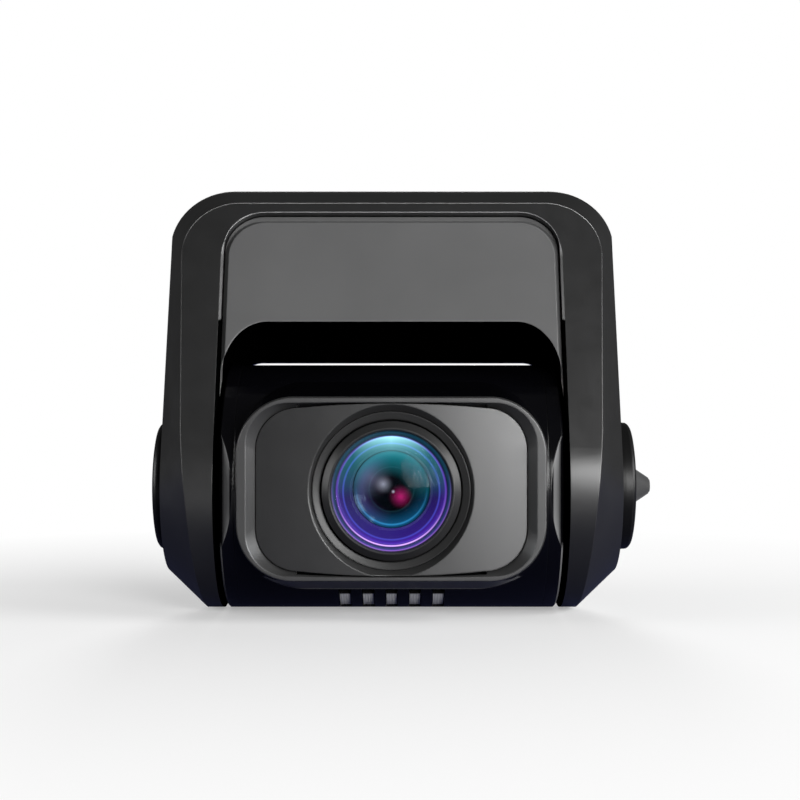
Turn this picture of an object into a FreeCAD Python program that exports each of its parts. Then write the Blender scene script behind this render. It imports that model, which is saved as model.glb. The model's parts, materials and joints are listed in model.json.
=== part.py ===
import FreeCAD, Part
import math
import os
from FreeCAD import Matrix, Vector

# Dash camera: a tilting camera head carried between the two arms of a wedge-shaped bracket.
# Millimetres. +X is across, -Y is the lens side, +Z is up. Sizes below are measured from the pivot axis at
# mid-width; save() moves each solid so that the origin is the middle of the adhesive pad's outer face.

# ---- bracket ----
ARM_R = 15.4                        # round end of the arms, about the pivot axis
FRONT_LEAN = math.radians(20)       # lean of the front face
REAR_LEAN = math.radians(28)        # slope of the rear glued face
UNDER_SLOPE = math.radians(50)      # slope of the arms' underside
TOP_Z = 38.2
TOP_REAR_Y = 4.5
SIDE_X = 28.15                      # outer half-width
CHEEK = 4.6                         # depth of the bevel round the sides
FLAT_X = 24.6                       # half-width of the flat front face at the pivot height
FLAT_DRAFT = 0.09
CROWN_Z = 35.75                     # top of the flat front face
CROWN_X = 26.45
ARM_IN = 21.2                       # inner face of the arms
ARM_WALL = 23.2                     # outer side of the arms' inner wall
ARM_VOID = 26.3
DRUM_Y = -1.0                       # axis of the recess that the snout swings through
DRUM_R = 21.9
DRUM_X = 20.8
DRUM_EDGE = 5.5
SLOT_TOP = 16.0                     # opening in the rear wall, between the arms
SLOT_X = 20.9
SLOT_CORNER = 3.0
POCKET_TOP = 33.6
COVER_T = 2.2
PARTING = 0.12
PAD_T = 1.1
PAD_HALF_X = 23.0
PAD_LOW = -22.0                     # pad edges, along the rear face from its top corner
PAD_HIGH = -2.6
CAP_R = 8.1

# ---- camera head ----
BARREL_R = 15.4
BARREL_IN = 13.9
SHELL_X = 18.75                     # end of the shells
CAP_X = 20.5                        # outer face of the end caps, where the friction washers sit
SPIGOT_X = 17.5
SNOUT_MID_Z = 0.4
RIM_Y = -16.35
BEZEL_Y = -15.7
PANEL_Y = -16.1
PANEL_R = 120.0
BULKHEAD_Y = -12.0
LENS_Z = 0.2
JOURNAL_R = 5.6
BUSH_R = 7.2
RUN_GAP = 0.05

SCREW_R = 0.8
SCREW_HEAD_R = 1.4
PILOT_R = 0.82

HEAD_SCREWS = [(x, z) for x in (-15.5, 15.5) for z in (-11.2, 11.2)]
SENSOR_POSTS = [(x, z) for x in (-13.2, 13.2) for z in (-6.8, 6.8)]
MAIN_POSTS = [(x, z) for x in (-15.2, 15.2) for z in (-6.0, 6.0)]
END_CAP_SCREWS = [(-7.9, -8.0), (7.9, 8.0)]
COVER_SCREWS = [(-14.0, 31.0), (14.0, 31.0), (-24.4, 8.2), (24.4, 8.2)]
CARD_X = 6.0
CARD_Y = 6.65
CARD_END_Z = -13.1

FRONT_N = (-math.cos(FRONT_LEAN), math.sin(FRONT_LEAN))
UNDER_N = (math.cos(UNDER_SLOPE), -math.sin(UNDER_SLOPE))
REAR_N = (math.cos(REAR_LEAN), math.sin(REAR_LEAN))
TOP_N = (0.0, 1.0)
REAR_D = REAR_N[0] * TOP_REAR_Y + REAR_N[1] * TOP_Z
LEAN_UP = Vector(0, math.sin(FRONT_LEAN), math.cos(FRONT_LEAN))
LEAN_OUT = Vector(0, FRONT_N[0], FRONT_N[1])
REAR_OUT = Vector(0, REAR_N[0], REAR_N[1])
REAR_UP = Vector(0, -REAR_N[1], REAR_N[0])
X_AXIS = Vector(1, 0, 0)
Y_AXIS = Vector(0, 1, 0)
Z_AXIS = Vector(0, 0, 1)
ORIGIN = Vector(0, TOP_REAR_Y, TOP_Z) + REAR_UP * ((PAD_LOW + PAD_HIGH) / 2) + REAR_OUT * PAD_T


# ---- small helpers ----
def box(x0, x1, y0, y1, z0, z1):
    return Part.makeBox(x1 - x0, y1 - y0, z1 - z0, Vector(x0, y0, z0))


def rod_x(x0, x1, r, y=0.0, z=0.0):
    return Part.makeCylinder(r, abs(x1 - x0), Vector(min(x0, x1), y, z), X_AXIS)


def rod_y(y0, y1, r, x=0.0, z=0.0):
    return Part.makeCylinder(r, abs(y1 - y0), Vector(x, min(y0, y1), z), Y_AXIS)


def tube_x(x0, x1, outer, inner):
    return rod_x(x0, x1, outer).cut(rod_x(x0, x1, inner))


def mirrored(shape):
    return shape.mirror(Vector(0, 0, 0), X_AXIS)


def spin(points, base, axis):
    wire = Part.makePolygon(points + [points[0]])
    return Part.Face(wire).revolve(base, axis, 360)


def turned_x(pairs, y=0.0, z=0.0):
    """Solid of revolution about a line along X; pairs are (x, radius)."""
    points = [Vector(x, y, z + r) for x, r in pairs]
    return spin(points, Vector(0, y, z), X_AXIS)


def turned_y(pairs, x=0.0, z=LENS_Z):
    """Solid of revolution about a line along Y; pairs are (y, radius)."""
    points = [Vector(x, y, z + r) for y, r in pairs]
    return spin(points, Vector(x, 0, z), Y_AXIS)


def rounded(corners):
    """Closed wire through (point, radius) corners."""
    ends = []
    count = len(corners)
    for i, (point, radius) in enumerate(corners):
        back = Vector(corners[i - 1][0] - point).normalize()
        ahead = Vector(corners[(i + 1) % count][0] - point).normalize()
        if radius <= 0:
            ends.append((point, None, point))
            continue
        half = back.getAngle(ahead) / 2
        reach = radius / math.tan(half)
        inward = Vector(back + ahead).normalize()
        middle = point + inward * (radius / math.sin(half) - radius)
        ends.append((point + back * reach, middle, point + ahead * reach))
    edges = []
    for i, (start, middle, end) in enumerate(ends):
        if middle is not None:
            edges.append(Part.Arc(start, middle, end).toShape())
        following = ends[(i + 1) % count][0]
        if (following - end).Length > 1e-6:
            edges.append(Part.makeLine(end, following))
    return Part.Wire(edges)


def plan_rect(half_x, z_low, z_high, r, y):
    """Rounded rectangle seen from the front, standing at depth y."""
    points = [(-half_x, z_low), (half_x, z_low), (half_x, z_high), (-half_x, z_high)]
    return rounded([(Vector(x, y, z), r) for x, z in points])


def slab_y(wire, depth):
    return Part.Face(wire).extrude(Vector(0, depth, 0))


def block(x0, x1, y0, y1, z0, z1, r):
    """Box with its four edges along Y rounded."""
    points = [(x0, z0), (x1, z0), (x1, z1), (x0, z1)]
    wire = rounded([(Vector(x, y0, z), r) for x, z in points])
    return slab_y(wire, y1 - y0)


def joined(shapes):
    first = shapes[0]
    if len(shapes) == 1:
        return first
    return first.multiFuse(shapes[1:]).removeSplitter()


def without(shape, tools):
    return shape.cut(Part.makeCompound(tools))


def save(name, shape):
    solids = shape.Solids
    body = solids[0] if len(solids) == 1 else Part.makeCompound(solids)
    body = body.translated(ORIGIN * -1)
    body.exportStep("parts/" + name + ".step")
    print(name, len(solids), body.isValid(), round(body.Volume, 1))


# ---- bracket outline ----
def meet(n1, d1, n2, d2):
    det = n1[0] * n2[1] - n1[1] * n2[0]
    return ((d1 * n2[1] - d2 * n1[1]) / det, (n1[0] * d2 - n2[0] * d1) / det)


def side_wire(inset, rear_inset, top, radii):
    """The bracket's side profile, inset from the full outline."""
    sides = [(FRONT_N, ARM_R - inset), (UNDER_N, ARM_R - inset), (REAR_N, REAR_D - rear_inset), (TOP_N, top)]
    front, under, rear, roof = sides
    points = [meet(*front, *under), meet(*front, *roof), meet(*rear, *roof), meet(*rear, *under)]
    return rounded([(Vector(0, *p), r) for p, r in zip(points, radii)])


def tilted_wire(wire, x, slope):
    """Moves a side profile onto the plane X = x + slope * Z."""
    matrix = Matrix()
    matrix.A13 = slope
    matrix.A14 = x
    return wire.transformGeometry(matrix)


def lean_point(x, z, out):
    up = (z - out * math.sin(FRONT_LEAN)) / math.cos(FRONT_LEAN)
    return X_AXIS * x + LEAN_UP * up + LEAN_OUT * out


def lean_wire(out, sides, top, r):
    """Outline in a plane parallel to the front face; sides are (z, half-width) pairs."""
    right = [(lean_point(sides[0][1], sides[0][0], out), 0.0)]
    right += [(lean_point(x, z, out), 0.0) for z, x in sides[1:-1]]
    right.append((lean_point(sides[-1][1], top, out), r))
    left = [(Vector(-p.x, p.y, p.z), k) for p, k in reversed(right)]
    return rounded(right + left)


def bracket_outer():
    full = side_wire(0.0, 0.0, TOP_Z, (ARM_R, 1.5, 1.5, 4.0))
    inner = side_wire(CHEEK, 3.0, TOP_Z - 1.0, (ARM_R - CHEEK, 1.5, 1.5, 3.0))
    edge = tilted_wire(full, FLAT_X, FLAT_DRAFT)
    side = tilted_wire(inner, SIDE_X, 0.0)
    edge_left = edge.mirror(Vector(0, 0, 0), X_AXIS)
    side_left = side.mirror(Vector(0, 0, 0), X_AXIS)
    body = Part.makeLoft([side_left, edge_left, edge, side], True, True)
    low, bend = [(z, FLAT_X + FLAT_DRAFT * z + 0.05) for z in (-32.0, 6.0)]
    front = lean_wire(ARM_R, [low, bend, (CROWN_Z, CROWN_X)], CROWN_Z, 7.0)
    wide = SIDE_X + 0.15
    deep = lean_wire(ARM_R - CHEEK, [(-32.0, wide), (6.0, wide), (TOP_Z - 0.25, wide)], TOP_Z - 0.25, 8.0)
    crown = Part.makeLoft([front, deep], True, True)
    rest = Part.Face(deep).extrude(Vector(0, 60, 0))
    return body.common(crown.fuse(rest).removeSplitter())


def swing_recess(grow=0.0):
    """The concave recess under the face plate, with rounded ends."""
    r = DRUM_R + grow
    x = DRUM_X + grow
    k = DRUM_EDGE
    start = Vector(x, DRUM_Y, r - k)
    middle = Vector(x - k + k * math.cos(math.pi / 4), DRUM_Y, r - k + k * math.sin(math.pi / 4))
    end = Vector(x - k, DRUM_Y, r)
    right = [Part.makeLine(Vector(x, DRUM_Y, 0), start), Part.Arc(start, middle, end).toShape()]
    flip = [Vector(-p.x, p.y, p.z) for p in (end, middle, start)]
    left = [Part.Arc(*flip).toShape(), Part.makeLine(flip[2], Vector(-x, DRUM_Y, 0))]
    roof = Part.makeLine(end, flip[0])
    floor = Part.makeLine(Vector(-x, DRUM_Y, 0), Vector(x, DRUM_Y, 0))
    wire = Part.Wire(right + [roof] + left + [floor])
    return Part.Face(wire).revolve(Vector(0, DRUM_Y, 0), X_AXIS, 360)


def head_space():
    """Everything between the arms that the head needs."""
    pieces = [
        swing_recess(),
        rod_x(-ARM_IN, ARM_IN, BARREL_R + 0.5),
        box(-ARM_IN, ARM_IN, -40, 40, -40, 0),
        block(-SLOT_X, SLOT_X, 0, 40, -20, SLOT_TOP, SLOT_CORNER),
    ]
    return joined(pieces)


def rear_slab(low, high, half_x=60.0, r=0.0, up_low=-60.0, up_high=60.0):
    """Slab parallel to the rear face, between two distances measured from that face."""
    middle = Vector(0, TOP_REAR_Y, TOP_Z)
    spots = [(-half_x, up_low), (half_x, up_low), (half_x, up_high), (-half_x, up_high)]
    points = [(middle + X_AXIS * x + REAR_UP * u + REAR_OUT * low, r) for x, u in spots]
    return Part.Face(rounded(points)).extrude(REAR_OUT * (high - low))


def rear_spot(x, z):
    return Vector(x, (REAR_D - REAR_N[1] * z) / REAR_N[0], z)


def rear_rod(x, z, low, high, r):
    """Cylinder square to the rear face, between two distances from that face."""
    return Part.makeCylinder(r, high - low, rear_spot(x, z) + REAR_OUT * low, REAR_OUT)


def bracket_void():
    """Hollow inside the bracket: one room across the top and one in each arm."""
    profile = side_wire(CHEEK, COVER_T, TOP_Z - 2.2, (ARM_R - CHEEK, 1.0, 1.0, 2.0))
    long_room = Part.Face(profile).extrude(Vector(60, 0, 0))
    long_room.translate(Vector(-30, 0, 0))
    top_wire = plan_rect(26.2, 15.0, TOP_Z - 2.2, 6.5, -30)
    top_room = long_room.common(slab_y(top_wire, 80)).cut(swing_recess(1.5))
    below = box(-ARM_WALL, ARM_WALL, -40, 40, -40, SLOT_TOP + 1.6)
    top_room = top_room.cut(below)
    arm_room = long_room.common(box(ARM_WALL, ARM_VOID, -40, 40, -40, 24))
    return joined([top_room, arm_room, mirrored(arm_room)])


def stop_groove():
    """Arc in the right arm's inner wall that limits the tilt."""
    ring = tube_x(ARM_IN - 1, ARM_IN + 1.4, 11.2, 9.2)
    first = math.radians(300 - 30 - 6)
    last = math.radians(300 + 190 + 6)
    steps = 12
    far = 30.0
    points = [Vector(0, 0, 0)]
    for i in range(steps + 1):
        a = last + (first + 2 * math.pi - last) * i / steps
        points.append(Vector(0, far * math.cos(a), far * math.sin(a)))
    wedge = Part.Face(Part.makePolygon(points + [points[0]])).extrude(Vector(60, 0, 0))
    return ring.cut(wedge)


def pocket_wire(depth, half_x, top, r):
    """Outline of the face plate's pocket, at a depth behind the front face."""
    return lean_wire(ARM_R - depth, [(8.0, half_x), (top, half_x)], top, r)


def bracket_solid():
    """The outer body with its head space, pocket and side openings, still in one piece."""
    pocket = Part.Face(pocket_wire(2.7, 20.95, POCKET_TOP, 5.0)).extrude(LEAN_OUT * 6)
    lip_low = pocket_wire(0.3, 20.95, POCKET_TOP, 5.0)
    lip_high = pocket_wire(0.0, 21.25, POCKET_TOP + 0.3, 5.3)
    lip = Part.makeLoft([lip_low, lip_high], True, True)
    cap_hole = rod_x(ARM_VOID - 1, 40, CAP_R + 0.1)
    bush_hole = rod_x(ARM_IN - 1, ARM_WALL + 1, BUSH_R)
    tools = [head_space(), pocket, lip, cap_hole, mirrored(cap_hole), bush_hole, mirrored(bush_hole)]
    tools.append(stop_groove())
    return without(bracket_outer(), tools)


def bracket_parts():
    whole = bracket_solid()
    bosses = []
    pilots = []
    clear = []
    for x, z in COVER_SCREWS:
        depth = 9.0 if z > 20 else 7.5
        bosses.append(rear_rod(x, z, -COVER_T - depth, -COVER_T, 2.2))
        pilots.append(rear_rod(x, z, -COVER_T - 6.0, -COVER_T + 0.5, PILOT_R))
        clear.append(rear_rod(x, z, -COVER_T - 1.0, 1.0, 0.95))
        clear.append(rear_rod(x, z, -1.25, 1.0, 1.65))
    void = without(bracket_void(), bosses)
    shell_side = rear_slab(-80, -COVER_T - PARTING)
    shell = whole.common(shell_side).cut(void)
    posts = [b.common(whole) for b in bosses]
    shell = joined([shell] + posts)
    shell = without(shell, pilots)
    cover = whole.common(rear_slab(-COVER_T, 20))
    cover = without(cover, clear)
    save("bracket_front_shell", shell)
    save("bracket_rear_cover", cover)
    plate = Part.Face(pocket_wire(2.7, 20.85, POCKET_TOP - 0.1, 4.9)).extrude(LEAN_OUT * 1.6)
    edge_low = pocket_wire(1.1, 20.85, POCKET_TOP - 0.1, 4.9)
    edge_high = pocket_wire(0.35, 20.3, POCKET_TOP - 0.4, 4.5)
    plate = plate.fuse(Part.makeLoft([edge_low, edge_high], True, True)).removeSplitter()
    save("face_plate", plate.cut(head_space()))
    save("adhesive_pad", rear_slab(0.0, PAD_T, PAD_HALF_X, 2.5, PAD_LOW, PAD_HIGH))
    save("rear_cover_screws", Part.makeCompound([cover_screw(x, z) for x, z in COVER_SCREWS]))


def cover_screw(x, z):
    head = rear_rod(x, z, -1.25, -0.15, 1.5)
    shank = rear_rod(x, z, -7.6, -1.25, SCREW_R)
    recess = rear_rod(x, z, -0.65, 0.0, 0.6)
    return head.fuse(shank).removeSplitter().cut(recess)


# ---- pivots ----
def pivot_cap(face, hole_r):
    """Plug in the arm's outer wall, held by three snap tabs. face is its outer profile as (x, radius)."""
    back = ARM_VOID - 0.5
    outline = [(27.6, 0.0), (27.6, 6.9), (back, 6.9), (back, CAP_R), (back + 0.15, CAP_R + 0.35)]
    outline += [(ARM_VOID - 0.05, CAP_R + 0.35), (ARM_VOID - 0.05, CAP_R), (28.9, CAP_R)] + face
    cap = turned_x(outline)
    slots = []
    for k in range(3):
        slot = box(25.0, 28.1, -5.2, 5.2, 0, 12)
        slot.rotate(Vector(0, 0, 0), X_AXIS, 60 + 120 * k)
        slots.append(slot.cut(rod_x(27.5, 40, 20)))
    cap = without(cap, slots)
    if hole_r > 0:
        cap = cap.cut(rod_x(20, 40, hole_r))
    return cap


def rim_round(x, r, radius, steps=4):
    """Points round a cap's outer corner, ending on its face at x."""
    turn = [math.pi / 2 * i / steps for i in range(1, steps + 1)]
    return [(x - radius + radius * math.sin(a), r - radius + radius * math.cos(a)) for a in turn]


def pivot_bush():
    sleeve = turned_x([
        (ARM_IN, JOURNAL_R + RUN_GAP), (24.0, JOURNAL_R + RUN_GAP), (24.0, 8.2),
        (ARM_WALL, 8.2), (ARM_WALL, BUSH_R), (ARM_IN, BUSH_R)])
    return sleeve


def pivot_parts():
    tall = rim_round(30.2, CAP_R, 0.75) + [(30.3, 5.2), (30.42, 3.0), (30.45, 0.0)]
    low = rim_round(29.6, CAP_R, 0.8) + [(29.75, 5.0), (29.9, 2.5), (29.95, 0.0)]
    save("pivot_cap_right", pivot_cap(tall, 2.0))
    save("pivot_cap_left", mirrored(pivot_cap(low, 0.0)))
    save("pivot_bush_right", pivot_bush())
    save("pivot_bush_left", mirrored(pivot_bush()))
    washer = tube_x(CAP_X, ARM_IN - 0.04, 8.5, 5.75)
    save("friction_washer_right", washer)
    save("friction_washer_left", mirrored(washer))
    spring = turned_x([(24.02, 7.3), (24.37, 7.3), (24.97, 5.9), (24.62, 5.9)])
    save("disc_spring", mirrored(spring))
    keeper = turned_x([(25.0, 1.6), (25.0, 7.3), (25.8, 7.3), (25.8, 1.6)])
    save("retaining_washer", mirrored(keeper))
    shank = [(17.6, 0.0), (17.6, 1.2), (17.9, 1.5), (25.8, 1.5)]
    screw = turned_x(shank + [(25.8, 2.75), (27.0, 2.75), (27.3, 2.4), (27.3, 0.0)])
    screw = without(screw, [box(26.5, 28, -0.35, 0.35, -2.0, 2.0), box(26.5, 28, -2.0, 2.0, -0.35, 0.35)])
    save("pivot_screw", mirrored(screw))
    clip = tube_x(24.1, 24.8, 7.0, 5.02)
    gap = box(24.0, 25.0, -2.4, 2.4, 0, 12)
    save("retaining_clip", clip.cut(gap))


# ---- head shells ----
def snout_wire(half_x, half_z, r, y):
    return plan_rect(half_x, SNOUT_MID_Z - half_z, SNOUT_MID_Z + half_z, r, y)


def under_arc(half_x, outer, inner, first, last):
    """Piece of a ring round the barrel, between two angles below the horizontal on the lens side."""
    corners = [Vector(-half_x, 0, 0)]
    for degrees in (first, (first + last) / 2, last):
        a = math.radians(180 + degrees)
        corners.append(Vector(-half_x, 40 * math.cos(a), 40 * math.sin(a)))
    sector = Part.Face(Part.makePolygon(corners + [corners[0]])).extrude(Vector(2 * half_x, 0, 0))
    return tube_x(-half_x, half_x, outer, inner).common(sector)


def vent_row(shape):
    """Five copies side by side, one for each vent."""
    return [shape.translated(Vector(2.87 * k, 0, 0)) for k in range(-2, 3)]


def vent_slots():
    """Five short slots cut round the underside of the barrel, ahead of its lowest line."""
    return vent_row(under_arc(0.75, 20, 12, 52.4, 76))


def vent_mesh():
    """Curved screen behind the slots, pressed up into each of them."""
    screen = under_arc(8.2, BARREL_IN - 0.02, BARREL_IN - 0.35, 50, 80)
    return joined([screen] + vent_row(under_arc(0.65, 15.2, BARREL_IN - 0.2, 57, 75)))


def seam_notch():
    return [box(-30, 30, -0.12, 0.12, z, z + 1) for z in (BARREL_R - 0.25, -BARREL_R - 0.75)]


def head_front_shell():
    barrel = rod_x(-SHELL_X, SHELL_X, BARREL_R)
    front, root = snout_wire(18.4, 10.97, 6.8, BEZEL_Y), snout_wire(19.0, 12.9, 8.2, -7.5)
    snout = Part.makeLoft([front, root], True, True)
    whole = joined([barrel, snout]).common(box(-30, 30, -40, 0, -40, 40))
    room = rod_x(-30, 30, BARREL_IN).common(box(-30, 30, BULKHEAD_Y, 30, -30, 30))
    pocket = slab_y(bowed_wire(17.2, 5.3, (10.5, 10.66), (-9.85, -9.97), -20), 20 - 13.4)
    hole = rod_y(-30, 0, 8.5, 0, LENS_Z)
    shell = without(whole, [room, pocket, hole] + seam_notch() + vent_slots())
    posts = [rod_y(-12.5, -1.0, 1.7, x, z) for x, z in SENSOR_POSTS]
    bosses = [rod_y(-12.0, 0.0, 1.9, x, z).common(rod_x(-30, 30, BARREL_IN + 0.5)) for x, z in HEAD_SCREWS]
    y, z = END_CAP_SCREWS[0]
    for side in (-1, 1):
        bosses.append(rod_x(side * 14.0, side * SHELL_X, 1.9, y, z))
        bosses.append(box(*sorted((side * 14.0, side * 17.3)), y - 4.0, y, z - 1.0, z + 1.0))
    shell = joined([shell] + posts + bosses)
    shell = shell.cut(rod_x(-30, -SHELL_X, 40)).cut(rod_x(SHELL_X, 30, 40))
    pilots = [rod_y(-6.0, 0.0, PILOT_R, x, z) for x, z in HEAD_SCREWS]
    pilots += [rod_y(-6.0, -1.0, PILOT_R, x, z) for x, z in SENSOR_POSTS]
    pilots += [rod_x(-30, -14.5, PILOT_R, y, z), rod_x(14.5, 30, PILOT_R, y, z)]
    shell = without(shell, pilots)
    outer_skin = joined([rod_x(-SHELL_X, SHELL_X, BARREL_R), snout])
    return shell.common(outer_skin)


def head_rear_shell():
    half = rod_x(-SHELL_X, SHELL_X, BARREL_R).common(box(-30, 30, 0, 40, -40, 40))
    shell = without(half, [rod_x(-30, 30, BARREL_IN)] + seam_notch())
    bosses = [rod_y(0.0, 9.5, 1.9, x, z) for x, z in HEAD_SCREWS]
    posts = [rod_y(5.6, 13.0, 1.6, x, z) for x, z in MAIN_POSTS]
    y, z = END_CAP_SCREWS[1]
    for side in (-1, 1):
        posts.append(rod_x(side * 14.0, side * SHELL_X, 1.9, y, z))
        posts.append(box(*sorted((side * 14.0, side * 17.3)), y, y + 4.0, z - 1.0, z + 1.0))
    inside = rod_x(-SHELL_X, SHELL_X, BARREL_IN + 0.5)
    shell = joined([shell] + [p.common(inside) for p in bosses + posts])
    tools = [rod_y(-1.0, 20.0, 0.95, x, z) for x, z in HEAD_SCREWS]
    tools += [rod_y(7.0, 20.0, 1.65, x, z) for x, z in HEAD_SCREWS]
    tools += [rod_y(5.6, 9.6, PILOT_R, x, z) for x, z in MAIN_POSTS]
    tools += [rod_x(-30, -14.5, PILOT_R, y, z), rod_x(14.5, 30, PILOT_R, y, z)]
    tools.append(box(CARD_X - 5.7, CARD_X + 5.7, CARD_Y - 0.5, CARD_Y + 0.5, -20, -9))
    scoop = rod_x(CARD_X - 4.2, CARD_X + 4.2, 2.4, CARD_Y + 0.6, -BARREL_R + 0.2)
    tools.append(scoop)
    return without(shell, tools)


def end_cap(side):
    """Disc closing the barrel, with a flat facet in front and the pivot journal outside. side is 1 or -1."""
    edge = 0.2
    rim = [(SHELL_X, BARREL_R), (CAP_X - edge, BARREL_R), (CAP_X, BARREL_R - edge)]
    disc = turned_x([(SHELL_X, 0)] + rim + [(CAP_X, 0)])
    corner = [(18.95, -BARREL_R), (21.95, 3.3 - BARREL_R), (21.95, -20.0), (18.95, -20.0)]
    points = [Vector(x, y, -20) for x, y in corner]
    disc = disc.cut(Part.Face(Part.makePolygon(points + [points[0]])).extrude(Vector(0, 0, 40)))
    spigot = tube_x(SPIGOT_X, SHELL_X, BARREL_IN - 0.1, 12.6)
    clear = [rod_x(13.0, 19.5, 2.3, y, z) for y, z in END_CAP_SCREWS]
    clear.append(box(13.0, SHELL_X, -20, BULKHEAD_Y + 0.2, -20, 20))
    spigot = without(spigot, clear)
    journal = rod_x(CAP_X - 0.5, 26.4 if side > 0 else 25.0, JOURNAL_R)
    boss = rod_x(17.0, SHELL_X + 0.2, 4.6)
    cap = joined([disc, spigot, journal, boss])
    if side > 0:
        lug = box(CAP_X - 0.3, ARM_IN + 1.0, 9.4, 11.0, -0.7, 0.7)
        lug.rotate(Vector(0, 0, 0), X_AXIS, 300)
        cap = joined([cap, lug])
        groove = tube_x(24.05, 24.85, 9.0, 5.0)
        cap = without(cap, [groove, rod_x(10, 30, 3.2)])
    else:
        cap = cap.cut(rod_x(17.4, 30, 1.5))
    holes = []
    for y, z in END_CAP_SCREWS:
        holes.append(rod_x(17, 30, 0.95, y, z))
        holes.append(turned_x([(CAP_X - 0.75, 0), (CAP_X - 0.75, 0.95), (CAP_X, 1.6), (CAP_X + 1, 1.6),
                               (CAP_X + 1, 0)], y, z))
    cap = without(cap, holes)
    return cap if side > 0 else mirrored(cap)


# ---- snout front ----
def bowed_wire(side, r, top, low, y):
    """Rounded rectangle with bowed top and bottom; top and low are (height at the corners, at the middle)."""
    inner = side - r
    k = r * (1 - math.sin(math.pi / 4))
    high, deep = top[0], low[0]
    arcs = [
        ((-inner, high), (0.0, top[1]), (inner, high)),
        ((inner, high), (side - k, high - k), (side, high - r)),
        ((side, deep + r), (side - k, deep + k), (inner, deep)),
        ((inner, deep), (0.0, low[1]), (-inner, deep)),
        ((-inner, deep), (k - side, deep + k), (-side, deep + r)),
        ((-side, high - r), (k - side, high - k), (-inner, high)),
    ]
    edges = []
    for i, arc in enumerate(arcs):
        points = [Vector(x, y, z) for x, z in arc]
        edges.append(Part.Arc(*points).toShape())
        x, z = arcs[(i + 1) % len(arcs)][0]
        if (Vector(x, y, z) - points[2]).Length > 1e-6:
            edges.append(Part.makeLine(points[2], Vector(x, y, z)))
    return Part.Wire(edges)


def snout_bezel():
    """Ring round the face panel, with two side skirts that sit in the shell's pocket."""
    back, front = snout_wire(18.4, 10.97, 6.8, BEZEL_Y), snout_wire(18.25, 10.8, 6.7, RIM_Y)
    rim = Part.makeLoft([back, front], True, True)
    skirt_wire = bowed_wire(17.12, 5.22, (10.42, 10.58), (-9.77, -9.89), BEZEL_Y - 0.1)
    skirt = slab_y(skirt_wire, -13.5 - BEZEL_Y)
    skirt = skirt.cut(box(-11.3, 11.3, -20, 0, -20, 20))
    throat = bowed_wire(16.18, 5.08, (10.08, 10.62), (-9.38, -9.93), -14.95)
    mouth = bowed_wire(17.22, 5.0, (10.62, 10.68), (-9.85, -9.97), RIM_Y - 0.01)
    slope = Part.makeLoft([throat, mouth], True, True)
    return without(joined([rim, skirt]), [slab_y(throat, 3.0), slope])


def face_panel():
    """Thin panel bowed about an upright axis, with a dished hole for the lens."""
    prism = slab_y(bowed_wire(16.1, 5.0, (10.0, 10.54), (-9.3, -9.85), -20), 20 - 14.2)
    dome = Part.makeCylinder(PANEL_R, 60, Vector(0, PANEL_Y + PANEL_R, -30), Z_AXIS)
    panel = prism.common(dome)
    hole = rod_y(-30, 0, 9.45, 0, LENS_Z)
    sink = turned_y([(-15.35, 0.0), (-15.35, 9.45), (-16.3, 10.5), (-17.0, 10.5), (-17.0, 0.0)])
    return without(panel, [hole, sink])


def lens_trim_ring():
    return turned_y([(-14.2, 8.35), (-14.9, 8.35), (-15.25, 8.5), (-15.5, 9.4), (-14.2, 9.4)])


# ---- lens ----
def lens_barrel():
    """Stepped lens body with a fine thread on its rear half."""
    outside = [(-15.9, 8.25), (-11.6, 8.25), (-11.6, 6.0)]
    pitch = 0.5
    y = -10.6
    while y < -4.6:
        outside += [(y, 6.0), (y + 0.2, 5.72), (y + 0.3, 5.72), (y + pitch, 6.0)]
        y += pitch
    outside += [(-4.1, 6.0), (-4.1, 3.3)]
    inside = [
        (-6.1, 3.3), (-6.1, 3.25), (-7.4, 3.25), (-7.4, 2.9), (-8.4, 2.9), (-8.4, 3.85), (-10.2, 3.85),
        (-10.2, 3.4), (-10.9, 3.4), (-10.9, 4.7), (-12.4, 4.7), (-12.4, 5.0), (-14.4, 6.3), (-14.4, 7.25),
        (-15.9, 7.25)]
    return turned_y(outside + inside)


def lens_front_ring():
    """Retaining ring for the front glass, sloping outwards."""
    return turned_y([(-15.9, 7.28), (-15.9, 8.25), (-16.0, 8.25), (-16.7, 7.45), (-16.7, 7.3), (-16.4, 7.12),
                     (-16.3, 7.12), (-16.3, 7.28)])


def dome_arc(y_edge, r_edge, sag, steps):
    """Profile points of a spherical face from the rim to the axis; sag is towards -Y when negative."""
    radius = (r_edge * r_edge + sag * sag) / (2 * abs(sag))
    way = 1 if sag > 0 else -1
    centre = y_edge + sag - way * radius
    points = []
    for i in range(steps + 1):
        r = r_edge * (1 - i / steps)
        points.append((centre + way * math.sqrt(radius * radius - r * r), r))
    return points


def glass(front_edge, front_r, front_sag, back_edge, back_r, back_sag, steps=7):
    front = dome_arc(front_edge, front_r, front_sag, steps)
    back = dome_arc(back_edge, back_r, back_sag, steps)
    return turned_y(front + back[::-1])


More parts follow.
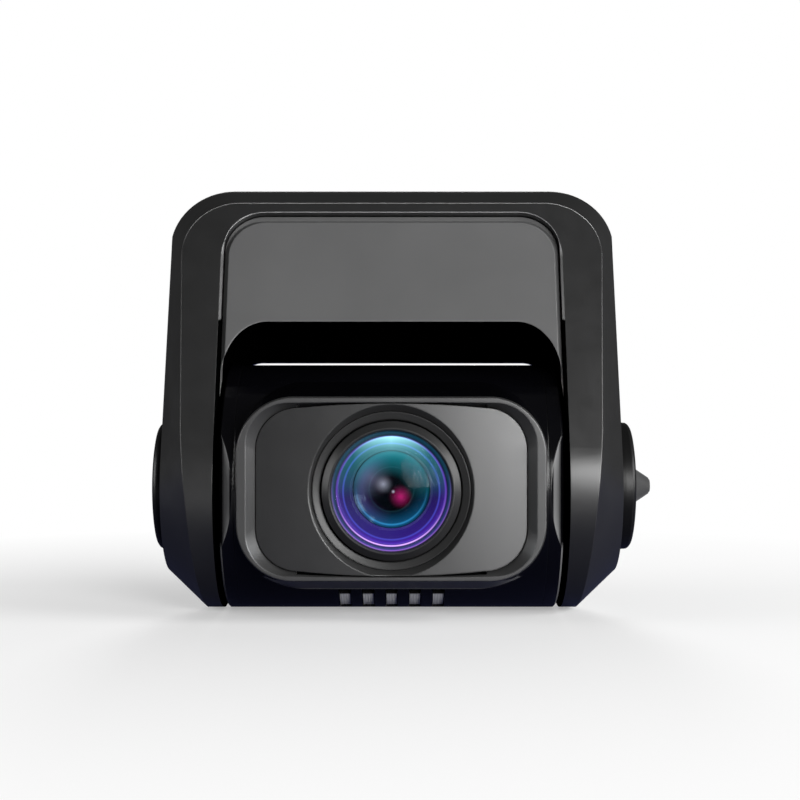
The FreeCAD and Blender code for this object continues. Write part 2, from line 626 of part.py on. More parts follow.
def lens_parts():
    save("lens_barrel", lens_barrel())
    save("lens_front_ring", lens_front_ring())
    save("lens_front_element", glass(-16.25, 7.1, -1.75, -14.45, 7.1, -1.2))
    save("lens_element_second", glass(-12.35, 4.6, 0.45, -11.0, 4.6, -0.3))
    save("aperture_stop", turned_y([(-10.85, 1.5), (-10.85, 3.3), (-10.55, 3.3), (-10.55, 1.3)]))
    save("lens_element_third", glass(-10.1, 3.75, -0.35, -9.0, 3.75, 0.5))
    save("lens_element_rear", glass(-7.3, 3.15, -0.4, -6.3, 3.15, 0.35))
    nut = turned_y([(-10.4, 6.02), (-10.4, 7.4), (-8.9, 7.4), (-8.9, 6.02)])
    flats = []
    for k in range(12):
        notch = box(6.9, 9, -11, -8, -0.35, 0.35)
        notch.rotate(Vector(0, 0, 0), Y_AXIS, 30 * k)
        notch.translate(Vector(0, 0, LENS_Z))
        flats.append(notch)
    save("lens_lock_ring", without(nut, flats))
    base = block(-8.0, 8.0, -3.6, -1.0, LENS_Z - 8.0, LENS_Z + 8.0, 1.0)
    neck = rod_y(-8.7, -3.6, 7.4, 0, LENS_Z)
    ears = [block(x - 2.6, x + 2.6, -2.6, -1.0, -2.4, 2.4, 1.0) for x in (-9.6, 9.6)]
    holder = joined([base, neck] + ears)
    tools = [rod_y(-20, -3.9, 6.03, 0, LENS_Z), rod_y(-20, 0, 3.6, 0, LENS_Z)]
    tools.append(box(-5.2, 5.2, -3.0, 0, LENS_Z - 5.2, LENS_Z + 5.2))
    tools += [rod_y(-2.4, 0, PILOT_R, x, 0) for x in (-10.0, 10.0)]
    save("lens_holder", without(holder, tools))
    save("ir_filter", box(-4.6, 4.6, -3.0, -2.7, LENS_Z - 4.6, LENS_Z + 4.6))


# ---- electronics ----
def screw_y(x, z, head_y, tip_y):
    """Pan-head screw along Y whose head stands on head_y, away from the tip."""
    way = 1 if head_y > tip_y else -1
    head = rod_y(head_y, head_y + way * 0.9, SCREW_HEAD_R, x, z)
    shank = rod_y(tip_y, head_y, SCREW_R, x, z)
    recess = rod_y(head_y + way * 0.45, head_y + way * 1.0, 0.55, x, z)
    return head.fuse(shank).removeSplitter().cut(recess)


def flat_head_screw(side, y, z):
    outline = [(14.8, 0), (14.8, SCREW_R), (CAP_X - 0.8, SCREW_R), (CAP_X - 0.1, 1.5), (CAP_X - 0.1, 0)]
    head = turned_x(outline, y, z)
    head = head.cut(rod_x(CAP_X - 0.55, CAP_X + 1, 0.5, y, z))
    return head if side > 0 else mirrored(head)


def board(half_x, half_z, y0, y1, holes):
    sheet = block(-half_x, half_x, y0, y1, -half_z, half_z, 1.0)
    return without(sheet, [rod_y(y0 - 1, y1 + 1, 0.95, x, z) for x, z in holes])


def electronics():
    save("image_sensor", joined([box(-4.2, 4.2, -1.7, -1.0, LENS_Z - 3.6, LENS_Z + 3.6),
                                 box(-3.0, 3.0, -1.9, -1.7, LENS_Z - 2.2, LENS_Z + 2.2)]))
    save("sensor_board", board(15.0, 9.2, -1.0, 0.0, SENSOR_POSTS + [(-10.0, 0.0), (10.0, 0.0)]))
    save("main_board", board(17.0, 9.2, 4.6, 5.6, MAIN_POSTS))
    socket_half = block(-5.5, 5.5, 0.0, 2.4, 5.6, 8.6, 0.3)
    plug_half = block(-5.0, 5.0, 2.4, 4.6, 6.0, 8.2, 0.3)
    save("board_connector", joined([socket_half, plug_half]))
    save("processor_chip", block(-5.0, 5.0, 3.4, 4.6, -5.5, 4.5, 0.2))
    save("memory_chip", block(-10.5, -6.5, 3.7, 4.6, -4.0, 4.0, 0.2))
    bits = []
    for k in range(5):
        bits.append(box(-11.4 + 2.2 * k, -10.4 + 2.2 * k, 4.0, 4.6, -8.2, -7.6))
    for k in range(4):
        bits.append(box(6.6 + 1.6 * k, 7.4 + 1.6 * k, 4.0, 4.6, 3.4, 4.8))
    save("small_components", Part.makeCompound(bits))
    save("buffer_capacitor", rod_x(-14.4, -3.0, 3.1, 8.75, 0.0))
    socket = box(CARD_X - 6.8, CARD_X + 6.8, 5.6, 7.6, -10.2, 4.6)
    socket = socket.cut(box(CARD_X - 5.65, CARD_X + 5.65, CARD_Y - 0.45, CARD_Y + 0.45, -12, 2.6))
    save("card_socket", socket)
    body = box(CARD_X - 5.5, CARD_X + 5.5, CARD_Y - 0.35, CARD_Y + 0.35, CARD_END_Z, CARD_END_Z + 15.0)
    grip = box(CARD_X - 5.5, CARD_X + 5.5, CARD_Y + 0.35, CARD_Y + 0.45, CARD_END_Z, CARD_END_Z + 1.2)
    notch = box(CARD_X + 4.8, CARD_X + 6.0, 0, 20, CARD_END_Z + 8.6, 20)
    save("memory_card", joined([body, grip]).cut(notch))
    case = block(-7.5, 7.5, -7.4, -1.4, -11.1, -8.6, 0.8)
    cone = Part.makeCylinder(2.6, 0.6, Vector(0, -4.4, -11.2), Z_AXIS)
    save("speaker", case.cut(cone))
    save("microphone", rod_y(-2.3, -1.0, 1.4, -10.4, 4.2))
    save("vent_mesh", vent_mesh())


def screws():
    save("head_screws", Part.makeCompound([screw_y(x, z, 7.0, -5.6) for x, z in HEAD_SCREWS]))
    boards = [screw_y(x, z, 0.0, -5.6) for x, z in SENSOR_POSTS]
    boards += [screw_y(x, z, 4.6, 9.3) for x, z in MAIN_POSTS]
    save("board_screws", Part.makeCompound(boards))
    save("lens_holder_screws", Part.makeCompound([screw_y(x, 0.0, 0.0, -2.3) for x in (-10.0, 10.0)]))
    ends = [flat_head_screw(side, y, z) for side in (-1, 1) for y, z in END_CAP_SCREWS]
    save("end_cap_screws", Part.makeCompound(ends))


def lead_parts():
    straight = rod_x(19.0, 32.9, 0.8)
    bend = Part.BSplineCurve()
    bend.interpolate([Vector(19.0, 0, 0), Vector(17.9, 0.45, 0), Vector(16.4, 2.15, 0), Vector(15.2, 2.6, 0)],
                     InitialTangent=Vector(-1, 0, 0), FinalTangent=Vector(-1, 0, 0))
    ring = Part.Wire([Part.makeCircle(0.8, Vector(19.0, 0, 0), X_AXIS)])
    tail = Part.Wire([bend.toShape()]).makePipeShell([ring], True, False)
    save("lead", straight.fuse(tail).removeSplitter())
    save("lead_connector", block(11.8, 15.2, 0.6, 4.6, -2.4, 2.4, 0.3))
    collar = [(23.6, 0.81), (23.6, 3.15), (26.4, 3.15), (26.4, 1.9)]
    nose = [(30.5, 1.9), (30.5, 2.45), (30.7, 2.4), (32.65, 1.1), (32.76, 1.0), (32.76, 0.81)]
    save("cable_boot", turned_x(collar + nose))


def head_parts():
    save("head_front_shell", head_front_shell())
    save("head_rear_shell", head_rear_shell())
    save("end_cap_right", end_cap(1))
    save("end_cap_left", end_cap(-1))
    save("snout_bezel", snout_bezel())
    save("face_panel", face_panel())
    save("lens_trim_ring", lens_trim_ring())


os.makedirs("parts", exist_ok=True)
bracket_parts()
pivot_parts()
head_parts()
lens_parts()
electronics()
screws()
lead_parts()
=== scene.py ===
import json
import math

import bpy
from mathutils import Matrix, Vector


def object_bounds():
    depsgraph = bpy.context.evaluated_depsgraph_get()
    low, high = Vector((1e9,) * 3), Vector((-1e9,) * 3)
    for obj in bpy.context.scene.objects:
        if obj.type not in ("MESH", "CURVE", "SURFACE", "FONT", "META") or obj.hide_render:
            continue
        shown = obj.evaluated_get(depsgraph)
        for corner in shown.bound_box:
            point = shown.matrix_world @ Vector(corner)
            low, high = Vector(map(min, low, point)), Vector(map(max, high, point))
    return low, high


# Looks for the dash camera: a material for every piece, plain studio light and the camera.
# Lengths are in metres, in the frame's own axes: +X right, -Y the way the lens looks, +Z up.

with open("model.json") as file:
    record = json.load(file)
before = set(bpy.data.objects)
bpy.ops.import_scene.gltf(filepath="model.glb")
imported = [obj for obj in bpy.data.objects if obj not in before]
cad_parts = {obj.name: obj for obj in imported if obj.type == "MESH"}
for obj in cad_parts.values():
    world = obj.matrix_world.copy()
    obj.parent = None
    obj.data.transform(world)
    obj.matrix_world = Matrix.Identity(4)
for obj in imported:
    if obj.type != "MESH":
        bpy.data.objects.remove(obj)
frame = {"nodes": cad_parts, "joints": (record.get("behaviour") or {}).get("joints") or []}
cad_low, cad_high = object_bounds()
nodes = frame["nodes"]

tilt_joint = next(joint for joint in frame["joints"] if joint["name"] == "head_tilt")
PIVOT = Vector(tilt_joint["pos_m"])                  # on the head's tilt axis, at mid-width

# ---- places that the materials and the stage are built round ----
LENS_CENTRE = PIVOT + Vector((0.0, 0.0, 0.0002))
CAMERA_PLACE = PIVOT + Vector((0.00102, -0.205, 0.01095))
CAMERA_LENS = 72.05                                 # millimetres, on a 36 mm sensor
SENSOR_WIDTH = 36.0

RECESS_AXIS = PIVOT + Vector((0.0, -0.001, 0.0))    # middle of the bracket's concave recess
RECESS_R = 0.0221
ARM_INSIDE_X = 0.02125                              # inner faces of the arms
CREST_Z = 0.0300                                    # the painted highlight on the bracket's top edges begins here
CREST_FADE = 0.003

BARREL_R = 0.0154                                   # the head's barrel
FACET_X = 0.01895                                   # inner edge of the end caps' front facets
FACET_SLOPE = 1.1
FACET_DEPTH = 0.00007                               # how near the facet's plane counts as on it
STRIPE_START = FACET_X + 0.0002                     # the painted highlight stripe on each facet
STRIPE_END = FACET_X + 0.0013
CAP_RIM_X = 0.02031                                 # where the end caps' outer rims begin
RIM_TOP_Z = -0.0060                                 # only the rims below this get the painted sheen

CHIN_TOP_Z = -0.0103                                # front edge of the snout's underside
CHIN_LOW_Z = -0.0122
CHIN_BACK_Y = -0.0093                               # where the underside meets the barrel
CHIN_FLAT_X = 0.0100                                # its painted sheen band keeps its full height up to here
CHIN_CURVE = 55.0                                   # and then curves up to the snout's corners
VENT_SHADE_Z = -0.0129                              # the mesh is in the slots' shade above this

FLOOR_GAP = 0.0002
FLOOR_SIZE = 6.0
ROOM_LIGHT = 0.05

# ---- lens radii and depths, from the lens axis and the pivot ----
FRONT_RING_R = 0.00643                              # the brightest painted violet reflection, which glows
BLUE_RING_R = 0.00567
OUTER_RING_R = 0.00702
CLEAR_R = 0.00655                                   # the dome's clear part ends here
SECOND_RING_R = 0.00425                             # painted reflection line at the second element's rim
SECOND_INNER_R = 0.0027
BORE_FRONT_Y = -0.01452                             # the barrel's inner funnel
BORE_BACK_Y = -0.0120
BORE_R = 0.0065


# ---- node helpers ----
class Graph:
    """Small wrapper that builds one material's node tree."""

    def __init__(self, name):
        self.material = bpy.data.materials.new(name)
        self.material.use_nodes = True
        self.tree = self.material.node_tree
        self.shader = self.tree.nodes["Principled BSDF"]
        self.output = self.tree.nodes["Material Output"]
        self.point = self.tree.nodes.new("ShaderNodeTexCoord").outputs["Object"]

    def node(self, kind, **values):
        made = self.tree.nodes.new(kind)
        for key, value in values.items():
            setattr(made, key, value)
        return made

    def link(self, source, target):
        self.tree.links.new(source, target)

    def feed(self, target, value):
        """Joins a socket to the target, or sets a plain value on it."""
        if hasattr(value, "is_output"):
            self.link(value, target)
        else:
            target.default_value = value

    def noise(self, scale, detail=3.0, rough=0.5):
        made = self.node("ShaderNodeTexNoise")
        self.link(self.point, made.inputs["Vector"])
        made.inputs["Scale"].default_value = scale
        made.inputs["Detail"].default_value = detail
        made.inputs["Roughness"].default_value = rough
        return made.outputs["Fac"]

    def spread(self, value, low, high, to_low=0.0, to_high=1.0):
        """Maps low to to_low and high to to_high, and holds those values beyond."""
        made = self.node("ShaderNodeMapRange")
        self.feed(made.inputs["Value"], value)
        made.inputs["From Min"].default_value = low
        made.inputs["From Max"].default_value = high
        made.inputs["To Min"].default_value = to_low
        made.inputs["To Max"].default_value = to_high
        return made.outputs["Result"]

    def patches(self, scale, low=0.0, high=1.0, detail=3.0, rough=0.5):
        """Cloudy patches that run from low to high."""
        return self.spread(self.noise(scale, detail, rough), 0.3, 0.7, low, high)

    def math(self, operation, a, b=0.0):
        made = self.node("ShaderNodeMath", operation=operation)
        self.feed(made.inputs[0], a)
        self.feed(made.inputs[1], b)
        return made.outputs[0]

    def times(self, first, *others):
        """Product of all the values."""
        for other in others:
            first = self.math("MULTIPLY", first, other)
        return first

    def mix(self, share, a, b):
        made = self.node("ShaderNodeMix", data_type="RGBA")
        self.feed(made.inputs["Factor"], share)
        self.feed(made.inputs[6], a)
        self.feed(made.inputs[7], b)
        return made.outputs[2]

    def offsets(self, centre):
        """Distances from a point, along X, Y and Z."""
        split = self.node("ShaderNodeSeparateXYZ")
        self.link(self.point, split.inputs[0])
        return [self.math("SUBTRACT", split.outputs[i], centre[i]) for i in range(3)]

    def reach(self, a, b):
        """Length of the sides a and b taken square to each other."""
        return self.math("SQRT", self.math("ADD", self.times(a, a), self.times(b, b)))

    def band(self, value, middle, half):
        """1 where value equals middle, falling to 0 at half either side."""
        return self.spread(self.math("ABSOLUTE", self.math("SUBTRACT", value, middle)), half, 0.0)

    def glow(self, colour, strength):
        made = self.node("ShaderNodeEmission")
        made.inputs["Color"].default_value = colour
        self.feed(made.inputs["Strength"], strength)
        return made.outputs[0]

    def blend(self, share, first, second):
        made = self.node("ShaderNodeMixShader")
        self.feed(made.inputs[0], share)
        self.link(first, made.inputs[1])
        self.link(second, made.inputs[2])
        return made.outputs[0]

    def finish(self, shaders):
        """Adds the shaders together as the surface."""
        total = shaders[0]
        for shader in shaders[1:]:
            made = self.node("ShaderNodeAddShader")
            self.link(total, made.inputs[0])
            self.link(shader, made.inputs[1])
            total = made.outputs[0]
        self.link(total, self.output.inputs["Surface"])
        return self.material

    def round_edges(self, radius):
        """A normal that rounds edges off."""
        made = self.node("ShaderNodeBevel", samples=4)
        made.inputs["Radius"].default_value = radius
        return made.outputs[0]

    def edge(self, radius):
        """1 on edges, 0 on flat faces."""
        flat = self.node("ShaderNodeNewGeometry")
        dot = self.node("ShaderNodeVectorMath", operation="DOT_PRODUCT")
        self.link(self.round_edges(radius), dot.inputs[0])
        self.link(flat.outputs["Normal"], dot.inputs[1])
        return self.spread(dot.outputs["Value"], 0.999, 0.93)

    def bump(self, height, strength, distance, normal=None):
        made = self.node("ShaderNodeBump")
        made.inputs["Strength"].default_value = strength
        made.inputs["Distance"].default_value = distance
        self.link(height, made.inputs["Height"])
        if normal is not None:
            self.link(normal, made.inputs["Normal"])
        self.link(made.outputs["Normal"], self.shader.inputs["Normal"])

    def set(self, **values):
        names = {"base": "Base Color", "rough": "Roughness", "metal": "Metallic",
                 "spec": "Specular IOR Level", "coat": "Coat Weight", "sheen": "Sheen Weight",
                 "through": "Transmission Weight", "ior": "IOR",
                 "film": "Thin Film Thickness", "film_ior": "Thin Film IOR"}
        for key, value in values.items():
            self.feed(self.shader.inputs[names[key]], value)


def grey(v):
    return (v, v, v, 1.0)


def lighter(colour, factor):
    return tuple(factor * channel for channel in colour[:3]) + (1.0,)


# ---- masks: functions of a graph that give 1 on some part of the object ----
def recess_shade_mask(g):
    """Painted shade for the concave recess and the arms' inner faces."""
    x, y, z = g.offsets(RECESS_AXIS)
    between = g.spread(g.math("ABSOLUTE", x), ARM_INSIDE_X + 0.00002, ARM_INSIDE_X)
    return g.times(between, g.spread(g.reach(y, z), RECESS_R + 0.0002, RECESS_R))


def crest_highlight_mask(g):
    """The top of the bracket, whose edges get a painted highlight."""
    x, y, z = g.offsets(PIVOT)
    return g.spread(z, CREST_Z, CREST_Z + CREST_FADE)


def stripe_sheen_mask(g, wide, y):
    """A painted highlight stripe along each end cap's flat front facet, fading outwards."""
    depth = g.math("DIVIDE", g.math("ADD", y, BARREL_R), FACET_SLOPE)
    facet = g.band(g.math("SUBTRACT", g.math("SUBTRACT", wide, FACET_X), depth), 0.0, FACET_DEPTH)
    fade_out = g.spread(wide, STRIPE_END, STRIPE_END - 0.0004)
    fade_in = g.spread(wide, STRIPE_START, STRIPE_START + 0.0002)
    return g.times(facet, fade_out, fade_in)


def rim_sheen_mask(g, wide, y, z):
    """Painted sheen on the lower front of the end caps' outer rims."""
    outside = g.spread(wide, CAP_RIM_X - 0.00004, CAP_RIM_X)
    below = g.spread(z, RIM_TOP_Z, RIM_TOP_Z - 0.0010)
    at_rim = g.spread(g.reach(y, z), BARREL_R - 0.0008, BARREL_R - 0.0005)
    ahead = g.spread(y, 0.001, 0.0)
    return g.times(outside, below, at_rim, ahead)


def facet_sheen_mask(g):
    """Painted sheen on the end caps: a highlight stripe in front and the lower rim."""
    x, y, z = g.offsets(PIVOT)
    wide = g.math("ABSOLUTE", x)
    return g.math("MAXIMUM", stripe_sheen_mask(g, wide, y), rim_sheen_mask(g, wide, y, z))


def chin_sheen_mask(g):
    """Painted sheen on the underside of the snout, narrowing to nothing at its corners."""
    x, y, z = g.offsets(PIVOT)
    below = g.spread(z, CHIN_TOP_Z, CHIN_TOP_Z - 0.0002)
    ahead = g.spread(y, CHIN_BACK_Y, CHIN_BACK_Y - 0.0003)
    outward = g.math("MAXIMUM", g.math("SUBTRACT", g.math("ABSOLUTE", x), CHIN_FLAT_X), 0.0)
    lower_edge = g.math("ADD", CHIN_LOW_Z, g.times(outward, outward, CHIN_CURVE))
    above = g.spread(g.math("SUBTRACT", z, lower_edge), 0.0, 0.00015)
    return g.times(below, ahead, above)


# ---- surface recipes ----
def plastic(name, base, worn, rough, grain, grain_depth, edge=0.00022, spec=0.5,
            painted_shade=None, painted_sheen=None, edge_highlight=None):
    """Moulded plastic: faint mottling, fine spark-eroded grain, softened edges that wear paler.

    The three optional masks give, in order, painted shade (black without shine), painted sheen (pale grey
    and rougher) and painted highlights on the masked edges."""
    g = Graph(name)
    tone = g.mix(g.patches(90.0), base, lighter(base, 1.12))
    wear = g.times(g.edge(edge), g.spread(g.noise(700.0, 4.0), 0.3, 0.6, 0.35, 1.0), 0.55)
    tone = g.mix(wear, tone, worn)
    scuff = g.patches(260.0, rough - 0.025, rough + 0.03, 5.0, 0.6)
    # painted highlight: pale grey edges where the mask is
    if edge_highlight is not None:
        tone = g.mix(g.times(g.edge(edge), edge_highlight(g)), tone, grey(0.5))
    # painted shade: black without shine where the mask is
    if painted_shade is not None:
        mask = painted_shade(g)
        tone = g.mix(mask, tone, grey(0.0003))
        spec = g.spread(mask, 0.0, 1.0, spec, 0.0)
    # painted sheen: pale grey and rougher where the mask is
    if painted_sheen is not None:
        mask = painted_sheen(g)
        tone = g.mix(mask, tone, grey(0.12))
        scuff = g.math("MAXIMUM", scuff, g.times(mask, 0.45))
    g.set(base=tone, rough=scuff, spec=spec)
    g.bump(g.noise(grain, 2.0), 0.35, grain_depth, g.round_edges(edge))
    return g.material


def metal(name, base, rough, grain, edge=0.00008):
    """Turned or plated metal with fine scratches."""
    g = Graph(name)
    blotch = g.spread(g.noise(400.0, 4.0), 0.35, 0.65)
    g.set(base=g.mix(blotch, base, lighter(base, 0.72)), metal=1.0)
    g.set(rough=g.patches(900.0, rough - 0.08, rough + 0.1, 5.0))
    g.bump(g.noise(grain, 3.0), 0.3, 0.00001, g.round_edges(edge))
    return g.material


def rubber(name, base, rough=0.75):
    """Matt rubber with a fine grain."""
    g = Graph(name)
    g.set(base=g.mix(g.patches(300.0, detail=4.0), base, lighter(base, 1.5)))
    g.set(rough=g.patches(500.0, rough - 0.1, rough + 0.1), sheen=0.15)
    g.bump(g.noise(5000.0, 2.0), 0.3, 0.00002, g.round_edges(0.0002))
    return g.material


def foam_tape():
    """Closed-cell foam pad: patchy black with fine pores."""
    g = Graph("foam_tape")
    cells = g.node("ShaderNodeTexVoronoi", feature="DISTANCE_TO_EDGE")
    g.link(g.point, cells.inputs["Vector"])
    cells.inputs["Scale"].default_value = 3200.0
    pore = g.spread(cells.outputs["Distance"], 0.0, 0.16)
    g.set(base=g.mix(g.patches(200.0, detail=4.0), (0.018, 0.018, 0.02, 1), (0.032, 0.032, 0.034, 1)))
    g.set(rough=g.spread(pore, 0.0, 1.0, 0.9, 0.7), spec=0.3)
    g.bump(pore, 0.5, 0.00006)
    return g.material


def circuit_board():
    """Solder mask over copper tracks laid out as a fine grid."""
    g = Graph("circuit_board")
    grid = g.node("ShaderNodeTexBrick", offset=0.4)
    g.link(g.point, grid.inputs["Vector"])
    grid.inputs["Scale"].default_value = 420.0
    grid.inputs["Mortar Size"].default_value = 0.035
    grid.inputs["Color1"].default_value = grey(0.0)
    grid.inputs["Color2"].default_value = grey(0.25)
    grid.inputs["Mortar"].default_value = grey(1.0)
    tracks = grid.outputs["Color"]
    g.set(base=g.mix(tracks, (0.004, 0.06, 0.02, 1), (0.01, 0.16, 0.06, 1)), rough=0.32, coat=0.4)
    g.bump(tracks, 0.3, 0.00003)
    return g.material


def mesh_metal():
    """Fine woven screen: crossing wires, black where the vent slots shade it."""
    g = Graph("mesh_metal")
    wires = []
    for direction in ("X", "Y"):
        wave = g.node("ShaderNodeTexWave", bands_direction=direction)
        g.link(g.point, wave.inputs["Vector"])
        wave.inputs["Scale"].default_value = 950.0
        wires.append(wave.outputs["Fac"])
    cloth = g.math("MAXIMUM", wires[0], wires[1])
    x, y, z = g.offsets(PIVOT)
    wire_tone = g.mix(g.spread(cloth, 0.2, 0.8), grey(0.45), grey(0.72))
    shade = g.spread(z, VENT_SHADE_Z - 0.0001, VENT_SHADE_Z + 0.0001)
    g.set(base=g.mix(shade, wire_tone, grey(0.004)), rough=0.5, spec=g.spread(shade, 0.0, 1.0, 0.5, 0.0))
    g.bump(cloth, 0.6, 0.00008)
    return g.material


# ---- the lens ----
def coated_glass(name, tint, film):
    """Optical glass with a thin coating that colours its reflections."""
    g = Graph(name)
    dust = g.spread(g.noise(1400.0, 5.0, 0.6), 0.55, 0.8, 0.0, 0.03)
    g.set(base=tint, through=1.0, ior=1.52, rough=dust, film=film, film_ior=1.9)
    return g.material


def low_and_high(g, z, r):
    """Two masks round the lens axis: the lower part and the upper part."""
    tilt = g.math("DIVIDE", z, g.math("MAXIMUM", r, 0.0001))
    return g.spread(tilt, 0.35, -0.95), g.spread(tilt, 0.15, 0.95)


def dome_surface(g):
    """Clear glass with a faint dusty mirror on top."""
    clear = g.node("ShaderNodeBsdfTransparent")
    clear.inputs["Color"].default_value = (0.74, 0.82, 0.88, 1)
    mirror = g.node("ShaderNodeBsdfGlossy")
    g.feed(mirror.inputs["Roughness"], g.spread(g.noise(1400.0, 5.0, 0.6), 0.55, 0.8, 0.03, 0.08))
    bend = g.node("ShaderNodeFresnel")
    bend.inputs["IOR"].default_value = 1.45
    return g.blend(g.times(bend.outputs[0], 0.06), clear.outputs[0], mirror.outputs[0])


def front_glass():
    """Clear dome with painted reflections that glow: violet rings low and a cyan crescent high, like the
    ghosts that lens coatings throw.
    """
    g = Graph("front_glass")
    x, y, z = g.offsets(LENS_CENTRE)
    r = g.reach(x, z)
    low, high = low_and_high(g, z, r)
    side = g.node("ShaderNodeNewGeometry")
    outer = g.math("SUBTRACT", 1.0, side.outputs["Backfacing"])
    low = g.times(outer, low)
    high = g.times(outer, high)
    # painted reflections: glowing coloured rings round the lens axis
    painted_rings = [
        (FRONT_RING_R, 0.00020, (0.20, 0.06, 0.80, 1), g.times(outer, 0.5)),
        (FRONT_RING_R, 0.00012, (0.95, 0.55, 1.0, 1), g.times(g.math("POWER", low, 3.0), 1.1)),
        (OUTER_RING_R, 0.00012, (0.55, 0.18, 0.95, 1), g.times(low, 0.5)),
        (BLUE_RING_R, 0.00016, (0.09, 0.12, 0.85, 1), g.times(outer, 0.45)),
        (0.00615, 0.00045, (0.10, 0.01, 0.55, 1), g.times(low, 0.45)),
    ]
    parts = [dome_surface(g)]
    for radius, half, colour, strength in painted_rings:
        parts.append(g.glow(colour, g.times(g.band(r, radius, half), strength)))
    # painted reflections: a glowing cyan crescent high up and a glowing rim at the edge
    crescent = g.math("POWER", g.spread(r, 0.0036, 0.0064), 2.5)
    crescent = g.times(crescent, g.spread(r, CLEAR_R, 0.0064), g.band(x, 0.0, 0.0045), high)
    rim = g.times(g.spread(r, CLEAR_R, 0.0069), g.spread(r, 0.00712, 0.0070))
    parts.append(g.glow((0.45, 0.92, 1.0, 1), g.times(crescent, 1.1)))
    parts.append(g.glow((0.005, 0.05, 0.09, 1), g.times(rim, outer, 0.8)))
    parts.append(g.glow((0.035, 0.0, 0.16, 1), g.times(rim, low)))
    return g.finish(parts)


def second_glass():
    """Dark inner element with painted reflections that glow: a cyan rim line, faint teal above, purple
    below and a few soft glints.
    """
    g = Graph("second_glass")
    x, y, z = g.offsets(LENS_CENTRE)
    r = g.reach(x, z)
    g.set(base=(0.002, 0.003, 0.004, 1), rough=g.patches(900.0, 0.05, 0.12), spec=0.15)
    upper = g.spread(z, -0.0012, 0.0046)
    under = g.spread(z, 0.0004, -0.0042)
    left = g.spread(x, 0.0, -0.004)
    inside = g.spread(r, 0.0050, 0.0044)
    # painted reflections: glowing coloured washes and glints on the element
    painted_washes = [
        ((0.05, 0.34, 0.62, 1), [g.band(r, SECOND_RING_R, 0.00016), under, 0.8]),
        ((0.02, 0.30, 0.32, 1), [inside, upper, g.spread(r, 0.0014, 0.0042), 1.1]),
        ((0.01, 0.12, 0.24, 1), [g.spread(r, 0.0026, 0.0043), under, inside]),
        ((0.16, 0.02, 0.24, 1), [g.band(r, 0.0036, 0.0014), left, 0.4]),
        ((0.10, 0.30, 0.34, 1), [g.band(r, SECOND_INNER_R, 0.00012), 0.12]),
    ]
    painted_glints = [
        ((-0.0024, 0.0014), 0.0030, (0.30, 0.13, 0.24, 1), 0.45),
        ((-0.0010, 0.0006), 0.0013, (0.80, 0.72, 0.78, 1), 0.60),
        ((0.0011, -0.0009), 0.0016, (0.85, 0.02, 0.20, 1), 0.95),
        ((0.0002, -0.0003), 0.00030, (1.0, 0.9, 1.0, 1), 0.9),
    ]
    parts = [g.shader.outputs[0]]
    for colour, factors in painted_washes:
        parts.append(g.glow(colour, g.times(*factors)))
    for (across, up), size, colour, power in painted_glints:
        away = g.reach(g.math("SUBTRACT", x, across), g.math("SUBTRACT", z, up))
        fade = g.math("POWER", g.spread(away, size, 0.0), 2.0)
        parts.append(g.glow(colour, g.times(fade, power)))
    return g.finish(parts)


def lens_bore():
    """Black anodised barrel whose inner funnel has painted violet and teal reflections that glow."""
    g = Graph("lens_bore")
    x, y, z = g.offsets(LENS_CENTRE)
    r = g.reach(x, z)
    blotch = g.spread(g.noise(400.0, 4.0), 0.35, 0.65)
    g.set(base=g.mix(blotch, grey(0.022), (0.032, 0.032, 0.03, 1)), rough=g.patches(900.0, 0.28, 0.42, 5.0))
    g.bump(g.noise(3000.0, 3.0), 0.3, 0.00001, g.round_edges(0.0001))
    behind_front = g.spread(y, BORE_FRONT_Y, BORE_FRONT_Y + 0.00007)
    before_back = g.spread(y, BORE_BACK_Y, BORE_BACK_Y - 0.0003)
    funnel = g.times(behind_front, g.spread(r, BORE_R, BORE_R - 0.0001), before_back)
    # painted reflections: glowing violet low and teal high in the funnel
    parts = [
        g.shader.outputs[0],
        g.glow((0.05, 0.004, 0.26, 1), g.times(funnel, g.spread(z, 0.003, -0.0055, 0.0, 0.9))),
        g.glow((0.02, 0.26, 0.28, 1), g.times(funnel, g.spread(z, -0.001, 0.0058, 0.0, 0.9))),
    ]
    return g.finish(parts)


# ---- materials on the CAD nodes ----
def paint(names, material):
    for name in names:
        mesh = nodes[name].data
        mesh.materials.clear()
        mesh.materials.append(material)


def paint_bracket():
    shell = plastic("bracket_black", grey(0.0105), grey(0.03), 0.30, 6500.0, 0.00001, 0.00016, 0.7,
                    painted_shade=recess_shade_mask, edge_highlight=crest_highlight_mask)
    caps = plastic("cap_black", grey(0.004), grey(0.03), 0.36, 6500.0, 0.00001, 0.0002, 0.2)
    plate = plastic("plate_grey", grey(0.070), grey(0.16), 0.42, 9000.0, 0.000008)
    paint(["bracket_front_shell", "bracket_rear_cover"], shell)
    paint(["pivot_cap_right", "pivot_cap_left"], caps)
    paint(["face_plate"], plate)
    paint(["adhesive_pad"], foam_tape())


def paint_head():
    gloss = (0.0012, 0.0012, 0.0018, 1)
    shell = plastic("head_black", gloss, grey(0.004), 0.16, 5200.0, 0.000006, spec=0.35, painted_sheen=chin_sheen_mask)
    ends = plastic("end_black", gloss, grey(0.004), 0.16, 5200.0, 0.000006, spec=0.35, painted_sheen=facet_sheen_mask)
    bezel = plastic("bezel_black", grey(0.028), grey(0.03), 0.32, 7500.0, 0.000008, spec=0.7)
    panel = plastic("panel_grey", grey(0.012), grey(0.07), 0.36, 9000.0, 0.000006, spec=0.7)
    paint(["head_front_shell", "head_rear_shell"], shell)
    paint(["end_cap_left", "end_cap_right"], ends)
    paint(["snout_bezel"], bezel)
    paint(["face_panel"], panel)
    paint(["vent_mesh"], mesh_metal())


